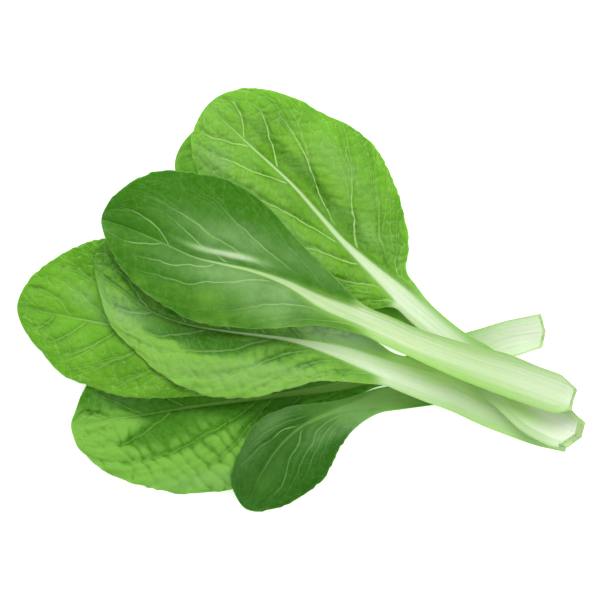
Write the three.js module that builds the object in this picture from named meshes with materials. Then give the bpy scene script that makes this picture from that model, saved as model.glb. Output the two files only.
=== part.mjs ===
// One bok choy taken apart into its seven leaves, which lie fanned out with their stalks crossing.
// Each leaf is one closed body: a thin blade that runs on into a thick, slightly hollow stalk.
// Millimetres, +Z up, with the surface that the leaves lie on at Z = 0.
import * as THREE from "three";

// Driving dimensions
const BLADE_THICKNESS = 1.4;
const LEAF_GAP = 0.55;
const STATIONS_PER_RIB = 2;

// How the pale rib and the blade are shaped across the leaf, as shares of the widths in the tables below
const RIB_DEPTH_SHARE = 0.42;
const CHANNEL_SHARE = 0.16;
const RIB_MOST_OF_HALF = 0.74;
const BLADE_RISE_SHARE = 0.11;
const BLADE_TURN = 0.62 * Math.PI;
const WAVE_SHARE = 0.05;
const WAVE_RIBS = 3.2;
const RIGHT_WAVE_LAG = 2;
const ARCH = 7;
const CUT_SLANT = 2.2;

// Columns across one half of the leaf: shares of the pale rib, then shares of the blade outside it
const RIB_COLUMNS = [0.5, 1];
const BLADE_COLUMNS = [0.33, 0.67, 1];

// How the leaves settle on each other: passes, how far they sag, which ribs are limp or stiff, and the field
// of heights, in cells of one millimetre, that each leaf comes to rest on
const SETTLE_PASSES = 140;
const FIRST_SAG = 0.06;
const LIMP_RIB = 2.5;
const STIFF_RIB = 6;
const STALK_STIFFNESS = 0.9;
const CELL = 1;
const EDGE_SLACK = 0.08;
const SMALLEST = 1e-6;
const FIELD = { x: -150, y: -115, wide: 300, high: 225 };

// Each row is a rib of the leaf, from its cut base to its tip: left edge x, y, middle of the pale rib x, y,
// right edge x, y, and half the width of the pale rib. The two edges and the middle meet at the tip.
const frontLeafRibs = [
  [133.2, -55, 134.2, -50, 136.1, -44, 6],
  [129.2, -56.2, 130.4, -47.8, 131.2, -38.9, 8.5],
  [123.5, -56, 125.5, -46, 128.5, -37, 9.5],
  [111.5, -52, 114.5, -42, 117.5, -33, 9.75],
  [96.5, -46.5, 99.5, -37, 102.5, -27, 10],
  [81, -40.5, 84.5, -32, 88, -23.5, 9],
  [66, -34, 69.5, -26.5, 72.5, -19, 7.75],
  [52, -27.5, 54.5, -20.5, 57, -14, 7],
  [41, -22.5, 42.5, -15, 44.5, -8.5, 6.25],
  [28.5, -17, 26, -8, 30.5, -2, 5],
  [8.5, -13, 9.5, -1, 15, 13, 3.75],
  [-12, -14.5, -7, 8, -2.5, 31, 2.65],
  [-31.5, -14, -23.5, 14, -19.5, 49, 1.8],
  [-49, -12, -38.5, 17.5, -35, 59, 1.2],
  [-65, -5, -53, 21, -51, 63, 0.85],
  [-80, 5, -66.5, 27, -69, 64.6, 0.65],
  [-90, 16, -77.5, 32, -82.3, 60.1, 0.5],
  [-96, 27, -87.5, 36, -91.7, 53.4, 0.4],
  [-98.8, 34, -95.4, 38.7, -97.6, 46.2, 0.3],
  [-99.9, 40, -99.9, 40, -99.9, 40, 0.2],
];
const topLeafRibs = [
  [130.8, -72.9, 138.4, -67.9, 140, -60.4, 8],
  [124.5, -73, 128.5, -62.5, 132.5, -53, 10],
  [110.5, -66, 115, -54.5, 120, -45, 10],
  [98, -54.5, 103.5, -46, 110, -37, 10],
  [83, -41.5, 89.5, -33, 96, -25, 9.5],
  [69, -25, 74.5, -19, 81, -16, 7.5],
  [53.5, -10, 58, -5, 66, -3.5, 6],
  [46, -4, 49.5, 2.5, 57.5, 7, 5],
  [34, -4.5, 41.5, 10, 52.5, 15, 4],
  [18.5, 1, 30.5, 20, 54, 28, 3.25],
  [2.5, 11, 20, 30, 51.5, 42, 2.5],
  [-12, 22, 8.5, 43, 47.5, 56, 2],
  [-25.5, 33, -3, 56, 40.5, 71, 1.5],
  [-37.5, 45, -14.5, 67, 28.5, 84.5, 1.2],
  [-47, 56, -24.5, 76, 11.5, 93, 1],
  [-53, 67, -32.5, 83.5, -6, 102, 0.75],
  [-55, 77, -39.5, 90, -24.5, 106, 0.5],
  [-52.5, 88, -44.5, 95, -37.5, 103.5, 0.35],
  [-46.5, 97.5, -46.5, 97.5, -46.5, 97.5, 0.2],
];
const middleLeafRibs = [
  [130, -75.5, 133, -68, 135.5, -60, 8],
  [118, -73, 121.5, -64, 124.5, -55, 9.25],
  [103.5, -68, 107, -59, 110.5, -50, 9.5],
  [89.5, -62.5, 93, -54, 96.5, -45, 9.5],
  [74.5, -55.5, 78, -47, 81.5, -39, 9],
  [62, -51, 65, -43, 68, -33, 7.5],
  [49.5, -46, 52, -38, 54.5, -29, 6.25],
  [42, -43, 42.5, -35, 46, -26.5, 5.75],
  [32, -42, 32, -31, 38, -21, 5],
  [21, -41, 19.5, -26.5, 24.5, -11, 4],
  [8, -41, 7.5, -23, 8, -1, 3],
  [-8, -45, -5.5, -20, -10.5, 9, 2],
  [-26, -49, -19.5, -18, -30.5, 18, 1.3],
  [-44, -48.5, -35.5, -16, -49, 25, 1],
  [-60.5, -43, -51.5, -13.5, -66.5, 29, 0.75],
  [-74.5, -34, -66.5, -9.5, -80.5, 31.5, 0.6],
  [-85.5, -23, -79.5, -3, -90, 32, 0.5],
  [-95, -13, -89.5, 5, -97, 31, 0.4],
  [-100, 1, -97.5, 11, -102, 24, 0.3],
  [-103, 15, -103, 15, -103, 15, 0.2],
];
const leftLeafRibs = [
  [122.5, -72, 125, -66, 127.5, -60, 6],
  [104.5, -65, 107, -59, 109.5, -53, 6.5],
  [84.5, -58, 87.5, -51, 90.5, -45, 6.5],
  [64.5, -48, 67, -42, 69.5, -36, 6],
  [48.5, -41, 50.5, -37, 52, -32, 4.5],
  [38.5, -38, 39.5, -34, 41.5, -30, 4],
  [25.5, -37, 25.5, -31.5, 27.5, -25, 3.5],
  [12, -38, 9.5, -28, 12.5, -18, 3],
  [-4, -41, -8, -25, -5.5, -8, 2.5],
  [-19.5, -44, -25.5, -23, -26.5, 4, 2],
  [-36.5, -47, -43, -21, -48, 15, 1.6],
  [-54.5, -48.5, -60.5, -18, -66.5, 24, 1.3],
  [-73, -49.5, -77, -15.5, -83.5, 29, 1],
  [-91, -48, -93, -13, -98.5, 30.5, 0.8],
  [-107, -43, -107.5, -10.5, -111, 27, 0.65],
  [-120, -37, -119.5, -8, -122.5, 21, 0.5],
  [-130, -26, -129.5, -6, -131.5, 14.5, 0.4],
  [-138, -16, -136.5, -4, -138, 7, 0.3],
  [-142, -4, -142, -4, -142, -4, 0.2],
];
const bottomLeafRibs = [
  [118.8, -24.3, 120.8, -16.3, 118.3, -7.3, 8.25],
  [108, -28, 105.5, -19, 103, -10.5, 8.5],
  [94.5, -31, 92.5, -23, 89.5, -14.5, 8.25],
  [79.5, -35, 77, -27, 74.5, -19, 7.5],
  [62, -40, 59.5, -33, 57.5, -26, 6.25],
  [46, -42, 44.5, -37, 42.5, -32, 4.5],
  [34, -45.3, 30.5, -40, 28, -36, 3.5],
  [19.5, -54, 17, -43.5, 12.5, -35, 3],
  [6, -69, 2, -46, -5.5, -26, 2.5],
  [-8.5, -84, -13, -48, -23.5, -20, 2],
  [-25.5, -93, -28, -50, -40.5, -18, 1.6],
  [-43.5, -96, -43, -52, -56.5, -18, 1.25],
  [-60.5, -97, -57.5, -54, -70.5, -20, 1],
  [-76, -94, -71.5, -56.5, -83.5, -24, 0.8],
  [-90, -90, -84.5, -58.5, -95, -30, 0.6],
  [-102, -83, -95.5, -60, -103.5, -36, 0.5],
  [-110.5, -75, -104.5, -62, -109, -46, 0.4],
  [-114, -68, -111, -63, -113, -56, 0.3],
  [-115, -62, -115, -62, -115, -62, 0.2],
];
const smallLeafRibs = [
  [109.5, -49, 110.5, -43, 111.5, -37, 6],
  [89.5, -52, 90, -45, 90.5, -38, 6.5],
  [73, -52, 72, -46, 71, -39, 6.25],
  [60.5, -53.5, 58.5, -48, 56.5, -42, 5.75],
  [49.5, -55, 48, -49, 46.5, -43, 5.25],
  [40, -56.5, 37.5, -50.5, 37.5, -44.5, 4],
  [32, -60.5, 27, -53, 28, -47.5, 3],
  [25.5, -66, 17, -56, 17.5, -50.5, 2.3],
  [20.5, -73, 8, -59.5, 5, -52, 1.8],
  [16, -81, -0.5, -64, -6, -53.5, 1.45],
  [11.5, -89, -7.5, -70, -16.5, -57.5, 1.15],
  [4, -96, -13.5, -77, -25, -64.5, 0.9],
  [-5.5, -102, -18, -84, -30, -74, 0.7],
  [-15, -105, -22, -91.5, -34, -83, 0.5],
  [-22.5, -106, -25, -98, -35, -92, 0.4],
  [-29.5, -103, -29.5, -103, -29.5, -103, 0.2],
];
const backLeafRibs = [
  [119.5, -61, 122.5, -55, 125.5, -49, 6],
  [102, -51, 105.5, -45, 109, -39, 6.5],
  [84.5, -40, 88.5, -34, 92.5, -28, 6.25],
  [67.5, -27, 72, -21, 76.5, -16, 5.75],
  [53, -17, 58.5, -10, 63.5, -5, 5],
  [40.5, -13, 48.5, -1, 54.5, 5, 4],
  [25.5, -7, 37, 9, 48, 17, 3.25],
  [8.5, 4, 22, 23, 43.5, 38, 2.5],
  [-8, 17, 5.5, 38, 31.5, 60, 2],
  [-24.5, 29, -10.5, 51, 16.5, 75, 1.6],
  [-37.5, 39, -25.5, 62, -1.5, 86, 1.2],
  [-48.5, 47, -38.5, 70, -21.5, 93, 0.9],
  [-57, 54, -48.5, 74, -36.5, 92, 0.6],
  [-62.5, 62, -56, 75, -49, 88, 0.4],
  [-63, 69, -60, 74, -57, 81, 0.3],
  [-61, 75, -61, 75, -61, 75, 0.2],
];

// The leaves from the lowest to the topmost, with the colour of each blade
const LEAVES = [
  { name: "bottom_leaf", ribs: bottomLeafRibs, phase: 0.4, colour: 0x4f9a2c },
  { name: "small_leaf", ribs: smallLeafRibs, phase: 2.0, colour: 0x3f8a3c },
  { name: "left_leaf", ribs: leftLeafRibs, phase: 3.1, colour: 0x5aa52b },
  { name: "back_leaf", ribs: backLeafRibs, phase: 1.2, colour: 0x4c9a28 },
  { name: "middle_leaf", ribs: middleLeafRibs, phase: 4.4, colour: 0x57a03c },
  { name: "top_leaf", ribs: topLeafRibs, phase: 0.9, colour: 0x6db23c },
  { name: "front_leaf", ribs: frontLeafRibs, phase: 5.2, colour: 0x48902c },
];

// A smooth curve through points in the plane, read at a place counted in points.
function curveThrough(points) {
  const line = new THREE.CatmullRomCurve3(points, false, "catmullrom", 0.5);
  return (place) => line.getPoint(place / (points.length - 1));
}

// The leaf seen from above: for each station its left edge, middle, right edge and half rib width.
// The outline is one curve that runs up the left side, round the tip and back down the right side.
function planOf(ribs) {
  const last = ribs.length - 1;
  const pointsOf = (k) => ribs.map((rib) => new THREE.Vector3(rib[k], rib[k + 1], 0));
  const right = pointsOf(4).slice(0, last).reverse();
  const outline = curveThrough([...pointsOf(0), ...right]);
  const middle = curveThrough(pointsOf(2));
  const halfRib = curveThrough(ribs.map((rib) => new THREE.Vector3(rib[6], 0, 0)));
  const stations = [];
  for (let i = 0; i <= last * STATIONS_PER_RIB; i++) {
    const place = i / STATIONS_PER_RIB;
    stations.push({
      left: outline(place),
      middle: middle(place),
      right: outline(2 * last - place),
      halfRib: halfRib(place).x,
    });
  }
  return stations;
}

// One point across a station: where it is in plan, how high the top lies and how thick the leaf is there.
// The rib is a shallow channel, and the blade rises from it, turns down at the margin and waves there.
function acrossStation(station, edge, wave, ribShare, bladeShare) {
  const half = Math.max(edge.distanceTo(station.middle), SMALLEST);
  const rib = Math.min(station.halfRib, RIB_MOST_OF_HALF * half);
  const distance = rib * ribShare + (half - rib) * bladeShare;
  const place = new THREE.Vector3().lerpVectors(station.middle, edge, distance / half);
  const channel = CHANNEL_SHARE * rib * Math.min(distance / rib, 1 / RIB_MOST_OF_HALF) ** 2;
  const blade = half - rib;
  const rise = BLADE_RISE_SHARE * blade * Math.sin(BLADE_TURN * bladeShare);
  const waving = WAVE_SHARE * blade * wave * bladeShare ** 2;
  const roundness = bladeShare > 0 ? 0 : Math.sqrt(1 - ribShare ** 2);
  return {
    x: place.x,
    y: place.y,
    rest: channel + rise + waving + station.arch,
    thick: BLADE_THICKNESS + RIB_DEPTH_SHARE * rib * roundness,
    lift: 0,
  };
}

// The grid of a leaf: one row for each station, one column for each share across it, left to right.
function gridOf(ribs, phase) {
  const plan = planOf(ribs);
  return plan.map((station, i) => {
    station.arch = ARCH * Math.sin((Math.PI * i) / (plan.length - 1)) ** 2;
    const turn = ((2 * Math.PI) / WAVE_RIBS) * (i / STATIONS_PER_RIB);
    const side = (edge, wave) => [
      ...RIB_COLUMNS.map((share) => acrossStation(station, edge, wave, share, 0)),
      ...BLADE_COLUMNS.map((share) => acrossStation(station, edge, wave, 1, share)),
    ];
    const row = [
      ...side(station.left, Math.sin(turn + phase)).reverse(),
      acrossStation(station, station.left, 0, 0, 0),
      ...side(station.right, Math.sin(turn + phase + RIGHT_WAVE_LAG)),
    ];
    row.stiff = THREE.MathUtils.smoothstep(station.halfRib, LIMP_RIB, STIFF_RIB);
    row.along = i === 0 ? 0 : plan[i - 1].along + station.middle.distanceTo(plan[i - 1].middle);
    station.along = row.along;
    return row;
  });
}

// The triangles between the rows of a grid, as pairs of row and column. The last row is the tip, one point.
function facesOf(grid) {
  const faces = [];
  const tip = grid.length - 1;
  for (let i = 0; i < tip; i++)
    for (let j = 0; j < grid[i].length - 1; j++) {
      faces.push([[i, j], [i, j + 1], [i + 1, j]]);
      if (i + 1 < tip) faces.push([[i + 1, j], [i, j + 1], [i + 1, j + 1]]);
    }
  return faces;
}

const topOf = (p) => p.rest + p.lift;
const undersideOf = (p) => p.rest + p.lift - p.thick;

// Calls visit(cell, height) for each cell of the field under a triangle, and a little past its edges.
function overCells(corners, heightOf, visit) {
  const [a, b, c] = corners;
  const area = (b.x - a.x) * (c.y - a.y) - (c.x - a.x) * (b.y - a.y);
  if (Math.abs(area) < SMALLEST) return;
  const xs = corners.map((p) => p.x - FIELD.x);
  const ys = corners.map((p) => p.y - FIELD.y);
  for (let row = Math.floor(Math.min(...ys)); row <= Math.ceil(Math.max(...ys)); row += CELL)
    for (let col = Math.floor(Math.min(...xs)); col <= Math.ceil(Math.max(...xs)); col += CELL) {
      const x = col + FIELD.x;
      const y = row + FIELD.y;
      const u = ((x - a.x) * (c.y - a.y) - (c.x - a.x) * (y - a.y)) / area;
      const v = ((b.x - a.x) * (y - a.y) - (x - a.x) * (b.y - a.y)) / area;
      if (u < -EDGE_SLACK || v < -EDGE_SLACK || u + v > 1 + 2 * EDGE_SLACK) continue;
      const height = heightOf(a) + u * (heightOf(b) - heightOf(a)) + v * (heightOf(c) - heightOf(a));
      visit(row * FIELD.wide + col, height);
    }
}

const meanLift = (row) => row.reduce((sum, p) => sum + p.lift, 0) / row.length;

// The straight line, along the leaf, that fits the lifts of its stiff rows best.
function stalkLine(grid) {
  const sum = (f) => grid.reduce((total, row) => total + row.stiff * f(row), 0);
  const weight = sum(() => 1);
  const middle = sum((row) => row.along) / weight;
  const height = sum(meanLift) / weight;
  const slope = sum((row) => (row.along - middle) * (meanLift(row) - height))
    / sum((row) => (row.along - middle) ** 2);
  return (row) => height + slope * (row.along - middle);
}

// Each lift becomes the mean of its neighbours less the sag, as a limp sheet between its supports.
// The stalk is stiff, so its rows go most of the way to one straight line instead.
function relax(grid, sag) {
  const before = grid.map((row) => row.map((p) => p.lift));
  const line = stalkLine(grid);
  const last = grid.length - 1;
  grid.forEach((row, i) => {
    const end = row.length - 1;
    row.forEach((p, j) => {
      const previous = before[Math.max(i - 1, 0)][j];
      const next = before[Math.min(i + 1, last)][j];
      const along = i < last ? (previous + next) / 2 : 2 * previous - before[last - 2][j];
      const across = (before[i][Math.max(j - 1, 0)] + before[i][Math.min(j + 1, end)]) / 2;
      const limp = (before[i][j] + along + across) / 3;
      p.lift = THREE.MathUtils.lerp(limp, line(row), STALK_STIFFNESS * row.stiff) - sag;
    });
  });
}

// Lifts each row of the stiff stalk, and the tip, to its highest point, so that they stay whole.
function keepWhole(grid) {
  grid.forEach((row, i) => {
    const whole = i === grid.length - 1 ? 1 : row.stiff;
    const highest = Math.max(...row.map((p) => p.lift));
    row.forEach((p) => {
      p.lift += whole * (highest - p.lift);
    });
  });
}

// Raises the corners of each face that reaches into the field of heights below it.
function clear(grid, faces, field) {
  const raise = grid.map((row) => row.map(() => 0));
  for (const face of faces) {
    let need = 0;
    const corners = face.map(([i, j]) => grid[i][j]);
    overCells(corners, undersideOf, (cell, height) => {
      need = Math.max(need, field[cell] - height);
    });
    for (const p of corners) need = Math.max(need, -undersideOf(p));
    for (const [i, j] of face) raise[i][j] = Math.max(raise[i][j], need);
  }
  grid.forEach((row, i) => row.forEach((p, j) => {
    p.lift += raise[i][j];
  }));
}

// Lets a leaf settle on the field of heights, then adds its own top to that field.
function settle(grid, faces, field) {
  for (let pass = 0; pass < SETTLE_PASSES; pass++) {
    relax(grid, FIRST_SAG * (1 - pass / SETTLE_PASSES));
    clear(grid, faces, field);
    keepWhole(grid);
  }
  for (const face of faces)
    overCells(face.map(([i, j]) => grid[i][j]), topOf, (cell, height) => {
      field[cell] = Math.max(field[cell], height + LEAF_GAP);
    });
}

// The closed body of a settled leaf: its top, its underside, the rim between them and the cut at the base.
function bodyOf(grid, faces) {
  const columns = grid[0].length;
  const tip = grid.length - 1;
  const middle = (columns - 1) / 2;
  const out = new THREE.Vector2(grid[0][middle].x - grid[1][middle].x, grid[0][middle].y - grid[1][middle].y);
  out.setLength(CUT_SLANT);
  const places = [];
  for (const heightOf of [topOf, undersideOf])
    grid.forEach((row, i) => row.forEach((p) => {
      const slant = i === 0 && heightOf === undersideOf ? 1 : 0;
      places.push(p.x + slant * out.x, p.y + slant * out.y, heightOf(p));
    }));
  const at = (side, i, j) => side * grid.length * columns + i * columns + (i === tip ? 0 : j);
  const index = [];
  for (const face of faces) {
    const [a, b, c] = face;
    index.push(at(0, ...a), at(0, ...b), at(0, ...c));
    index.push(at(1, ...a), at(1, ...c), at(1, ...b));
  }
  const wall = (a, b) => {
    index.push(at(0, ...a), at(0, ...b), at(1, ...a));
    index.push(at(0, ...b), at(1, ...b), at(1, ...a));
  };
  for (let i = 0; i < tip; i++) {
    wall([i, 0], [i + 1, 0]);
    wall([i + 1, columns - 1], [i, columns - 1]);
  }
  for (let j = 0; j < columns - 1; j++) wall([0, j + 1], [0, j]);
  const shape = new THREE.BufferGeometry();
  shape.setAttribute("position", new THREE.Float32BufferAttribute(places, 3));
  shape.setIndex(index);
  shape.computeVertexNormals();
  return shape;
}

const bokChoy = new THREE.Group();
bokChoy.name = "bok_choy";
const field = new Float64Array(FIELD.wide * FIELD.high);
for (const { name, ribs, phase, colour } of LEAVES) {
  const grid = gridOf(ribs, phase);
  const faces = facesOf(grid);
  settle(grid, faces, field);
  const look = new THREE.MeshStandardMaterial({ color: colour, roughness: 0.45, metalness: 0 });
  const leaf = new THREE.Mesh(bodyOf(grid, faces), look);
  leaf.name = name;
  bokChoy.add(leaf);
}

export default bokChoy;
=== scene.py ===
"""One bok choy taken apart into seven loose leaves, fanned out on a pale floor.

Each leaf is a thin sheet laid on the heights of its CAD solid, with its veins, puckers, ruffled margin,
ribbed stalk and cut end modelled in the mesh. Lengths named _MM are millimetres, all others are metres."""

import bpy
import numpy as np
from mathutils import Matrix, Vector


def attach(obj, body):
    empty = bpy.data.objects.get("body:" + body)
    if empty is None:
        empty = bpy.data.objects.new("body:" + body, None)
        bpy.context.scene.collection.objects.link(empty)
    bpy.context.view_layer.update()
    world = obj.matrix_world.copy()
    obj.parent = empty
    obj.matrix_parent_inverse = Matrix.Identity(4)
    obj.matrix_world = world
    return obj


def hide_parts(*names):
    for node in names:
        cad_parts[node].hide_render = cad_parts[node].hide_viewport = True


bl_info = {
    "name": "Bok choy leaves",
    "version": (1, 0, 0),
    "blender": (4, 5, 0),
    "location": "3D View > Sidebar > Bok choy",
    "description": "Builds the loose leaves of a bok choy around their packed solids",
    "category": "Add Mesh",
}

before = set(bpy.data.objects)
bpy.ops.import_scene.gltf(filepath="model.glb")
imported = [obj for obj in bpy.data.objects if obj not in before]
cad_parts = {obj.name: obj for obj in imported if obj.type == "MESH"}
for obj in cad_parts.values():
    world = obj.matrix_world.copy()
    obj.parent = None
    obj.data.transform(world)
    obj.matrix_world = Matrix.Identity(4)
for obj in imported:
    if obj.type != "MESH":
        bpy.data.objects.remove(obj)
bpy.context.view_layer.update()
MM = 0.001

# Least length that anything is divided by
TINY = 1e-6

# The sheet: how far it lies below the top of the CAD leaf, its least height and thickness, the size of the
# teeth along its margin, and the widths beside the rib over which its relief and its green wings grow
SHEET_BELOW_CAD_MM = 0.35
LOWEST_MM = 0.05
THINNEST_MM = 0.1
TOOTH_MM = 2.1
BLADE_MM = (6.3, 15.3)
WING_MM = (1.4, 5.4)

# Side veins: their common bend, how many ribs of the plan their numbers run on past the outer ones, the
# least and greatest gap, how they wander, as strength, size and shift of the noise seed, and the least gap
# that the wander is measured in
VEIN_BEND = 1.15
BEYOND_OUTER_VEIN = 4
VEIN_GAP_MM = (1, 80)
WANDER_MM = ((0.9, 8.0, 21), (0.35, 3.1, 22))
WANDER_GAP_MM = 4

# Puckers: the sizes of their cells, and the strength and size of the noise that warps those
PUCKER_MM = 5.5
SMALL_PUCKER_MM = 2.2
WARP_MM = (1.1, 4.1)

# Forks of a side vein as side, order and reach in gaps, then where they leave it and how long they drift, as
# shares of the way out, and how fast they are lost before that
FORKS = ((-1, 0, 0.44), (1, 0, 0.44), (-1, 1, 0.25), (1, 1, 0.25))
FORK_START = 0.28
FORK_SPREAD = 0.16
FORK_PACE = 2.4
FORK_STAGGER = 0.2
FORK_LENGTH = 0.8
FORK_FADE_MM = 60

# Cross veins between two side veins, like rungs: their spacing, first place, slip by noise and its size,
# slope along and out, and how far they are pushed away where they are not to show
RUNG_MM = 5.6
RUNG_START = 2.4
RUNG_SLIP = 0.35
RUNG_SLIP_MM = 7.0
RUNG_SLOPE = (0.8, 0.6)
RUNG_CLEAR_MM = 3

# Relief: shares and widths of the grooves, widths of branches, threads and rungs, the sizes of the ruffles
# and their reach in from the margin, and the sizes of the swells and of the ribs along the stalk
GROOVE_MM = ((0.35, 3.6), (0.65, 1.25))
BRANCH_MM = 1.1
THREAD_MM = 0.5
RUNG_WIDTH_MM = 0.9
RUFFLE_MM = 8.5
FINE_RUFFLE_MM = 3.4
RUFFLE_REACH_MM = 5
SWELL_MM = 15
SWELL_HEIGHT_MM = 0.6
STALK_RIB_MM = 0.95
STALK_RIB_RUN_MM = 60

# The cut end: rows of faces, depth of its hollow, how far in its slant reaches, the slant, the height and
# size of its roughness, and how many rows behind it its direction is taken from
CUT_ROWS = 4
CUT_HOLLOW_MM = 0.35
CUT_REACH_MM = 5.0
CUT_SLANT_MM = 1.6
CUT_ROUGH_MM = 0.18
CUT_ROUGH_SIZE_MM = 1.1
ROWS_BEHIND_CUT = 3

# Numbers stored on every point of a leaf for its material, beside the side it is on
STORED = ("phase", "gap", "from_rib", "to_margin", "along", "across", "cell", "small_cell", "out",
          "rib", "far", "lean", "lift", "shade", "sheen", "flush", "from_rung", "wing")

# Scales of the material's patterns, in repeats to a metre, and the length of a stalk's whitish base
BROAD_SCALE = 60.0
PATCH_SCALE = 70.0
FINE_SCALE = 380.0
HAIR_SCALE = 480.0
BUNDLE_SCALE = 480.0
SPECKLE_SCALE = 1400.0
BASE_MM = 60.0

# The stage, in metres: the floor, and each light's name, place, width and share of the key power
FLOOR_SIZE = 6.0
FLOOR_DROP = -0.0001
FRAME_CENTRE = (-0.0005, -0.00025)
SENSOR_MM = 36.0
LIGHTS = (("key", (-0.3, 0.95, 1.05), 0.9, 1.0), ("fill", (0.9, -0.6, 1.4), 1.6, 0.62))

# Rows of a leaf's plan: left edge x, y, middle of the pale rib x, y, right edge x, y, half rib width, in
# millimetres, from the cut base to the tip
FRONT_LEAF_RIBS_MM = (
    (133.2, -55, 134.2, -50, 136.1, -44, 6),
    (129.2, -56.2, 130.4, -47.8, 131.2, -38.9, 8.5),
    (123.5, -56, 125.5, -46, 128.5, -37, 9.5),
    (111.5, -52, 114.5, -42, 117.5, -33, 9.75),
    (96.5, -46.5, 99.5, -37, 102.5, -27, 10),
    (81, -40.5, 84.5, -32, 88, -23.5, 9),
    (66, -34, 69.5, -26.5, 72.5, -19, 7.75),
    (52, -27.5, 54.5, -20.5, 57, -14, 7),
    (41, -22.5, 42.5, -15, 44.5, -8.5, 6.25),
    (28.5, -17, 26, -8, 30.5, -2, 5),
    (8.5, -13, 9.5, -1, 15, 13, 3.75),
    (-12, -14.5, -7, 8, -2.5, 31, 2.65),
    (-31.5, -14, -23.5, 14, -19.5, 49, 1.8),
    (-49, -12, -38.5, 17.5, -35, 59, 1.2),
    (-65, -5, -53, 21, -51, 63, 0.85),
    (-80, 5, -66.5, 27, -69, 64.6, 0.65),
    (-90, 16, -77.5, 32, -82.3, 60.1, 0.5),
    (-96, 27, -87.5, 36, -91.7, 53.4, 0.4),
    (-98.8, 34, -95.4, 38.7, -97.6, 46.2, 0.3),
    (-99.9, 40, -99.9, 40, -99.9, 40, 0.2),
)
TOP_LEAF_RIBS_MM = (
    (130.8, -72.9, 138.4, -67.9, 140, -60.4, 8),
    (124.5, -73, 128.5, -62.5, 132.5, -53, 10),
    (110.5, -66, 115, -54.5, 120, -45, 10),
    (98, -54.5, 103.5, -46, 110, -37, 10),
    (83, -41.5, 89.5, -33, 96, -25, 9.5),
    (69, -25, 74.5, -19, 81, -16, 7.5),
    (53.5, -10, 58, -5, 66, -3.5, 6),
    (46, -4, 49.5, 2.5, 57.5, 7, 5),
    (34, -4.5, 41.5, 10, 52.5, 15, 4),
    (18.5, 1, 30.5, 20, 54, 28, 3.25),
    (2.5, 11, 20, 30, 51.5, 42, 2.5),
    (-12, 22, 8.5, 43, 47.5, 56, 2),
    (-25.5, 33, -3, 56, 40.5, 71, 1.5),
    (-37.5, 45, -14.5, 67, 28.5, 84.5, 1.2),
    (-47, 56, -24.5, 76, 11.5, 93, 1),
    (-53, 67, -32.5, 83.5, -6, 102, 0.75),
    (-55, 77, -39.5, 90, -24.5, 106, 0.5),
    (-52.5, 88, -44.5, 95, -37.5, 103.5, 0.35),
    (-46.5, 97.5, -46.5, 97.5, -46.5, 97.5, 0.2),
)
MIDDLE_LEAF_RIBS_MM = (
    (130, -75.5, 133, -68, 135.5, -60, 8),
    (118, -73, 121.5, -64, 124.5, -55, 9.25),
    (103.5, -68, 107, -59, 110.5, -50, 9.5),
    (89.5, -62.5, 93, -54, 96.5, -45, 9.5),
    (74.5, -55.5, 78, -47, 81.5, -39, 9),
    (62, -51, 65, -43, 68, -33, 7.5),
    (49.5, -46, 52, -38, 54.5, -29, 6.25),
    (42, -43, 42.5, -35, 46, -26.5, 5.75),
    (32, -42, 32, -31, 38, -21, 5),
    (21, -41, 19.5, -26.5, 24.5, -11, 4),
    (8, -41, 7.5, -23, 8, -1, 3),
    (-8, -45, -5.5, -20, -10.5, 9, 2),
    (-26, -49, -19.5, -18, -30.5, 18, 1.3),
    (-44, -48.5, -35.5, -16, -49, 25, 1),
    (-60.5, -43, -51.5, -13.5, -66.5, 29, 0.75),
    (-74.5, -34, -66.5, -9.5, -80.5, 31.5, 0.6),
    (-85.5, -23, -79.5, -3, -90, 32, 0.5),
    (-95, -13, -89.5, 5, -97, 31, 0.4),
    (-100, 1, -97.5, 11, -102, 24, 0.3),
    (-103, 15, -103, 15, -103, 15, 0.2),
)
LEFT_LEAF_RIBS_MM = (
    (122.5, -72, 125, -66, 127.5, -60, 6),
    (104.5, -65, 107, -59, 109.5, -53, 6.5),
    (84.5, -58, 87.5, -51, 90.5, -45, 6.5),
    (64.5, -48, 67, -42, 69.5, -36, 6),
    (48.5, -41, 50.5, -37, 52, -32, 4.5),
    (38.5, -38, 39.5, -34, 41.5, -30, 4),
    (25.5, -37, 25.5, -31.5, 27.5, -25, 3.5),
    (12, -38, 9.5, -28, 12.5, -18, 3),
    (-4, -41, -8, -25, -5.5, -8, 2.5),
    (-19.5, -44, -25.5, -23, -26.5, 4, 2),
    (-36.5, -47, -43, -21, -48, 15, 1.6),
    (-54.5, -48.5, -60.5, -18, -66.5, 24, 1.3),
    (-73, -49.5, -77, -15.5, -83.5, 29, 1),
    (-91, -48, -93, -13, -98.5, 30.5, 0.8),
    (-107, -43, -107.5, -10.5, -111, 27, 0.65),
    (-120, -37, -119.5, -8, -122.5, 21, 0.5),
    (-130, -26, -129.5, -6, -131.5, 14.5, 0.4),
    (-138, -16, -136.5, -4, -138, 7, 0.3),
    (-142, -4, -142, -4, -142, -4, 0.2),
)
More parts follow.
